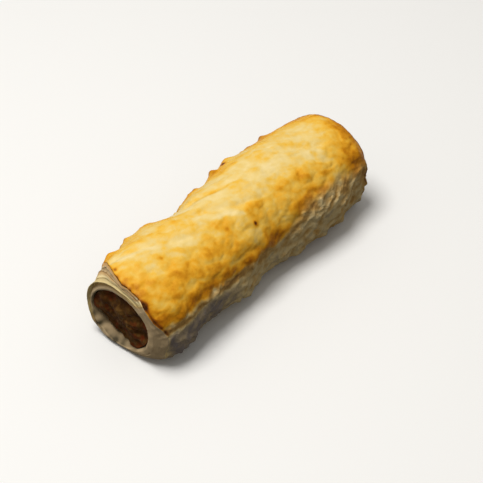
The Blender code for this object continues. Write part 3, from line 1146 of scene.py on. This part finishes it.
@dataclass(frozen=True)
class Grain:
    """A noise pattern, from the real size of what it draws."""

    size_mm: float
    detail: float = 2.0
    roughness: float = 0.5
    distortion: float = 0.0

    @property
    def values(self) -> dict[int | str, Any]:
        """Give the constants of the noise node that draws the grain."""
        return {
            "Scale": 1 / (self.size_mm * MM), "Detail": self.detail,
            "Roughness": self.roughness, "Distortion": self.distortion,
        }


@dataclass(frozen=True)
class GrainRelief:
    """How high a grain stands out of its surface, and how strongly it turns the light."""

    height_mm: float
    strength: float = 1.0

    @property
    def values(self) -> dict[int | str, Any]:
        """Give the constants of the bump node that raises the grain."""
        return {"Strength": self.strength, "Distance": self.height_mm * MM}


@dataclass(frozen=True)
class BakedCrust:
    """Egg-washed puff pastry, brushed and baked: golden and half glossy on top, matt and pale below."""

    name: str = "egg-washed puff pastry crust"
    glazed: tuple[tuple[float, str], ...] = (
        (0.00, "#efd594"),
        (0.20, "#e9ca7c"),
        (0.38, "#ebbb4c"),
        (0.54, "#e7a628"),
        (0.68, "#cc8410"),
        (0.82, "#8e4c06"),
        (1.00, "#3c1c04"),
    )
    bare: tuple[tuple[float, str], ...] = (
        # Painted shade: this grey lowest stop colours the near side, whose browning stays near 0.
        (0.00, "#897d76"),
        (0.22, "#b9a37f"),
        (0.42, "#e2c890"),
        (0.62, "#c69c58"),
        (0.85, "#855422"),
        (1.00, "#3c1c06"),
    )
    mottle: Grain = Grain(1.3, detail=3.0, roughness=0.6)
    mottle_strength: float = 0.20
    crumples: Grain = Grain(2.6, detail=3.0, roughness=0.55, distortion=0.8)
    crumple_relief: GrainRelief = GrainRelief(0.7)
    crumpled_glaze: float = 0.12
    # Real pores are finer: these are as coarse as they have to be to show.
    pores: Grain = Grain(0.55)
    pore_relief: GrainRelief = GrainRelief(0.10, strength=0.6)
    glazed_roughness: float = 0.50
    bare_roughness: float = 0.72
    gloss: float = 0.12
    ior: float = 1.45

    def material(self) -> bpy.types.Material:
        """Make the material: browning through two ramps, one for glazed and one for bare dough."""
        made, tree = start_material(self.name, {"IOR": self.ior, "Specular IOR Level": self.gloss})
        where = add_node(tree, "ShaderNodeTexCoord").outputs["Object"]
        browning = add_node(tree, "ShaderNodeAttribute", attribute_name="browning").outputs["Fac"]
        glaze = add_node(tree, "ShaderNodeAttribute", attribute_name="glaze").outputs["Fac"]
        mottle, crumples, pores = (
            add_node(tree, "ShaderNodeTexNoise", links={"Vector": where}, values=grain.values).outputs["Fac"]
            for grain in (self.mottle, self.crumples, self.pores)
        )
        centred = add_node(
            tree, "ShaderNodeMath", operation="MULTIPLY_ADD", links={0: mottle},
            values={1: self.mottle_strength, 2: -self.mottle_strength / 2},
        ).outputs[0]
        baked = add_node(tree, "ShaderNodeMath", operation="ADD", links={0: browning, 1: centred}).outputs[0]
        gold, dough = (
            add_node(tree, "ShaderNodeValToRGB", links={0: baked}, stops=stops).outputs["Color"]
            for stops in (self.glazed, self.bare)
        )
        colour = add_node(
            tree, "ShaderNodeMix", data_type="RGBA", links={0: glaze, COLOUR_A: dough, COLOUR_B: gold}
        ).outputs[2]
        rough, crumpled = (
            add_node(
                tree, "ShaderNodeMapRange", links={"Value": glaze}, values={"To Min": bare, "To Max": glazed}
            ).outputs[0]
            for bare, glazed in (
                (self.bare_roughness, self.glazed_roughness),
                (self.crumple_relief.strength, self.crumpled_glaze),
            )
        )
        folds = add_node(
            tree, "ShaderNodeBump", links={"Height": crumples, "Strength": crumpled},
            values=self.crumple_relief.values,
        ).outputs["Normal"]
        relief = add_node(
            tree, "ShaderNodeBump", links={"Height": pores, "Normal": folds}, values=self.pore_relief.values
        ).outputs["Normal"]
        feed_shader(tree, {"Base Color": colour, "Roughness": rough, "Normal": relief})
        return made


@dataclass(frozen=True)
class CutPastry:
    """The inside of the pastry where it was cut: matt, steamed dough in thin cream layers."""

    name: str = "steamed puff pastry layers"
    across: tuple[tuple[float, str], ...] = (
        (0.00, "#c5a97e"),
        (0.07, "#e6c99a"),
        (0.20, "#d9bb8c"),
        (0.30, "#c9a366"),
        (0.40, "#f7d88e"),
        (0.62, "#ffe8b0"),
        (0.70, "#e2bc80"),
        # Painted shade: this darker tan stop falls in the slit between the two outer leaves.
        (0.77, "#c2965c"),
        (0.85, "#fbe4b4"),
        (0.94, "#e2b070"),
    )
    # The dark colour of the bore and of the lower cut face: partly meat juice, partly painted shade.
    juice_and_shade: str = "#453a20"
    wander: Grain = Grain(2.4, detail=3.0)
    wander_strength: float = 0.10
    # Real fibres are finer: these are as coarse as they have to be to show.
    fibre: Grain = Grain(0.45)
    fibre_relief: GrainRelief = GrainRelief(0.15, strength=0.7)
    roughness: float = 0.75
    ior: float = 1.42

    def material(self) -> bpy.types.Material:
        """Make the material: a ramp across the wall, broken up by thin layers, and darkened by juice stain
        and painted shade, least on the bore's floor, which is painted lighter.
        """
        made, tree = start_material(self.name, {"IOR": self.ior, "Roughness": self.roughness})
        where = add_node(tree, "ShaderNodeTexCoord").outputs["Object"]
        wall = add_node(tree, "ShaderNodeAttribute", attribute_name="wall").outputs["Fac"]
        juice_and_shade = add_node(tree, "ShaderNodeAttribute", attribute_name="stain_and_shade").outputs["Fac"]
        wander, fibre = (
            add_node(tree, "ShaderNodeTexNoise", links={"Vector": where}, values=grain.values).outputs["Fac"]
            for grain in (self.wander, self.fibre)
        )
        shifted = add_node(
            tree, "ShaderNodeMath", operation="MULTIPLY_ADD", links={0: wander, 2: wall},
            values={1: self.wander_strength},
        ).outputs[0]
        steady = add_node(
            tree, "ShaderNodeMath", operation="SUBTRACT", links={0: shifted},
            values={1: self.wander_strength / 2},
        ).outputs[0]
        colour = add_node(tree, "ShaderNodeValToRGB", links={0: steady}, stops=self.across).outputs["Color"]
        stained_and_shaded = add_node(
            tree, "ShaderNodeMix", data_type="RGBA", links={0: juice_and_shade, COLOUR_A: colour},
            values={COLOUR_B: linear(self.juice_and_shade)},
        ).outputs[2]
        relief = add_node(
            tree, "ShaderNodeBump", links={"Height": fibre}, values=self.fibre_relief.values
        ).outputs["Normal"]
        feed_shader(tree, {"Base Color": stained_and_shaded, "Normal": relief})
        return made


@dataclass(frozen=True)
class CookedMeat:
    """Baked sausage meat: minced pork, browned and moist, with red and pale flecks."""

    name: str = "baked minced sausage meat"
    body: tuple[tuple[float, str], ...] = (
        (0.00, "#1e0f04"),
        (0.36, "#42260e"),
        (0.50, "#593a18"),
        (0.64, "#705026"),
        (1.00, "#9c7846"),
    )
    fleck: str = "#74280c"
    mince: Grain = Grain(1.8, detail=4.0, roughness=0.65)
    mince_relief: GrainRelief = GrainRelief(0.25, strength=0.6)
    mince_share: float = 0.45
    lumps: Grain = Grain(5.5, detail=1.0, distortion=1.2)
    # Painted shade: the meat's colour darker in the crumb's crevices.
    painted_crevice_shade: float = 0.06
    flecks: Grain = Grain(4.2, detail=1.0)
    fleck_range: tuple[float, float] = (0.56, 0.70)
    fleck_strength: float = 0.6
    roughness: float = 0.65
    gloss: float = 0.06
    ior: float = 1.40

    def material(self) -> bpy.types.Material:
        """Make the material: mince mottling, painted shade in the crevices, scattered flecks and a reddish
        rim.
        """
        made, tree = start_material(
            self.name, {"IOR": self.ior, "Roughness": self.roughness, "Specular IOR Level": self.gloss}
        )
        where = add_node(tree, "ShaderNodeTexCoord").outputs["Object"]
        crevice = add_node(tree, "ShaderNodeAttribute", attribute_name="crevice").outputs["Fac"]
        rim = add_node(tree, "ShaderNodeAttribute", attribute_name="rim").outputs["Fac"]
        mince, lumps, scatter = (
            add_node(tree, "ShaderNodeTexNoise", links={"Vector": where}, values=grain.values).outputs["Fac"]
            for grain in (self.mince, self.lumps, self.flecks)
        )
        tone = add_node(
            tree, "ShaderNodeMix", data_type="FLOAT", links={VALUE_A: lumps, VALUE_B: mince},
            values={0: self.mince_share},
        ).outputs[0]
        shaded = add_node(
            tree, "ShaderNodeMath", operation="MULTIPLY_ADD", links={0: crevice, 2: tone},
            values={1: -self.painted_crevice_shade},
        ).outputs[0]
        brown = add_node(tree, "ShaderNodeValToRGB", links={0: shaded}, stops=self.body).outputs["Color"]
        low, high = self.fleck_range
        flecks = add_node(
            tree, "ShaderNodeMapRange", links={"Value": scatter},
            values={"From Min": low, "From Max": high, "To Max": self.fleck_strength},
        ).outputs[0]
        red = add_node(tree, "ShaderNodeMath", operation="MAXIMUM", links={0: flecks, 1: rim}).outputs[0]
        colour = add_node(
            tree, "ShaderNodeMix", data_type="RGBA", links={0: red, COLOUR_A: brown},
            values={COLOUR_B: linear(self.fleck)},
        ).outputs[2]
        relief = add_node(
            tree, "ShaderNodeBump", links={"Height": mince}, values=self.mince_relief.values
        ).outputs["Normal"]
        feed_shader(tree, {"Base Color": colour, "Normal": relief})
        return made


@dataclass(frozen=True)
class Studio:
    """A plain pale floor, one large soft light from the back left and above, and the camera."""

    azimuth: float = math.radians(-47.46)
    elevation: float = math.radians(42.59)
    distance: float = 0.635
    lens_mm: float = 115.6
    aim_height: float = 0.019
    focal_px: float = 1551.0
    aim_pixel: tuple[float, float] = (232.3, 228.0)
    picture_px: float = 483.0
    floor_size: float = 6.0
    floor_drop: float = 0.0001
    floor_colour: str = "#f2f0ec"
    floor_roughness: float = 0.9
    key_from: Vector = field(default_factory=lambda: Vector((-0.22, 0.16, 1.0)))
    key_distance: float = 1.1
    key_size: float = 0.55
    key_power: float = 9.9
    sky_strength: float = 0.36
    ground_strength: float = 0.05
    horizon: tuple[float, float] = (-0.15, 0.25)
    sky_colour: str = "#f4f3f0"

    def camera(self) -> bpy.types.Object:
        """Place the camera at the photograph's angle, with the roll where the photograph has it."""
        flat, up_share = math.cos(self.elevation), math.sin(self.elevation)
        away = Vector((math.sin(self.azimuth) * flat, -math.cos(self.azimuth) * flat, up_share))
        turned = away.to_track_quat("Z", "Y").to_matrix()
        right, up = turned.col[0], turned.col[1]
        middle = self.picture_px / 2
        metres_per_px = self.distance / self.focal_px
        off = right * (middle - self.aim_pixel[0]) - up * (middle - self.aim_pixel[1])
        place = Vector((0, 0, self.aim_height)) + away * self.distance + off * metres_per_px
        data = bpy.data.cameras.new("camera")
        data.lens = self.lens_mm
        camera = bpy.data.objects.new("camera", data)
        camera.matrix_world = Matrix.Translation(place) @ turned.to_4x4()
        bpy.context.scene.collection.objects.link(camera)
        bpy.context.scene.camera = camera
        return camera

    def floor(self) -> bpy.types.Object:
        """Lay the plain pale floor just under the roll."""
        shape = bmesh.new()
        bmesh.ops.create_grid(shape, x_segments=1, y_segments=1, size=self.floor_size / 2)
        bmesh.ops.translate(shape, verts=shape.verts, vec=(0, 0, -self.floor_drop))
        floor = finished_object(shape, "floor")
        paint = {"Base Color": linear(self.floor_colour), "Roughness": self.floor_roughness}
        floor.data.materials.append(start_material("matt painted floor", paint)[0])
        floor.visible_diffuse = False
        return floor

    def lights(self) -> None:
        """Add the soft key light and an even pale sky."""
        data = bpy.data.lights.new("key", "AREA")
        data.shape = "DISK"
        data.size = self.key_size
        data.energy = self.key_power
        key = bpy.data.objects.new("key", data)
        towards = self.key_from.normalized()
        turned = towards.to_track_quat("Z", "Y").to_matrix().to_4x4()
        key.matrix_world = Matrix.Translation(towards * self.key_distance) @ turned
        bpy.context.scene.collection.objects.link(key)
        world = bpy.data.worlds.new("sky")
        world.use_nodes = True
        tree = world.node_tree
        sky = tree.nodes["Background"]
        sky.inputs["Color"].default_value = linear(self.sky_colour)
        towards_sky = add_node(tree, "ShaderNodeTexCoord").outputs["Generated"]
        height = add_node(tree, "ShaderNodeSeparateXYZ", links={0: towards_sky}).outputs["Z"]
        strength = add_node(
            tree, "ShaderNodeMapRange", links={"Value": height},
            values={
                "From Min": self.horizon[0], "From Max": self.horizon[1],
                "To Min": self.ground_strength, "To Max": self.sky_strength,
            },
        ).outputs[0]
        tree.links.new(strength, sky.inputs["Strength"])
        bpy.context.scene.world = world

    def build(self) -> None:
        """Set the whole studio up."""
        self.camera()
        self.floor()
        self.lights()
        bpy.context.scene.view_settings.view_transform = "Standard"


@dataclass
class SausageRoll:
    """The whole roll: its pastry and its meat, each in the place of its solid."""

    form: RollForm = field(default_factory=RollForm)

    def fit(self, pieces: Sequence[bpy.types.Object]) -> None:
        """Move and size the pieces together so that they fill the solids' box and stay inside it."""
        pastry = pieces[0].data
        places = np.empty(len(pastry.vertices) * 3, np.float32)
        pastry.vertices.foreach_get("co", places)
        places = places.reshape(-1, 3)
        low, high = places.min(0), places.max(0)
        wanted_low, wanted_high = np.array(CAD_BOX[0]), np.array(CAD_BOX[1])
        size = np.minimum(1.0, (wanted_high - wanted_low) / (high - low))
        move = (wanted_low + wanted_high) / 2 - size * (low + high) / 2
        for piece in pieces:
            piece.data.transform(Matrix.Translation((move[0], move[1], 0)) @ Matrix.Diagonal((*size, 1.0)))

    def pieces(self) -> Iterator[tuple[bpy.types.Object, str]]:
        """Build each piece, with the name of the node that it stands for."""
        yield PastryWall(self.form).build(), "pastry"
        yield SausageMeat(self.form).build(), "filling"

    def build(self) -> list[bpy.types.Object]:
        """Build, fit, dress and report every piece."""
        made = list(self.pieces())
        self.fit([piece for piece, _ in made])
        finishes = {"pastry": (BakedCrust(), CutPastry()), "filling": (CookedMeat(),)}
        for piece, node in made:
            for finish in finishes[node]:
                piece.data.materials.append(finish.material())
            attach(piece, BODY)
            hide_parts(node)
            piece.data.calc_loop_triangles()
            LOG.info("%s: %d triangles", piece.name, len(piece.data.loop_triangles))
        return [piece for piece, _ in made]


def main() -> None:
    """Build the studio and the roll."""
    logging.basicConfig(level=logging.INFO, format="%(message)s")
    noise.seed_set(WARP_SEED)
    Studio().build()
    SausageRoll().build()


if __name__ == "__main__":
    main()
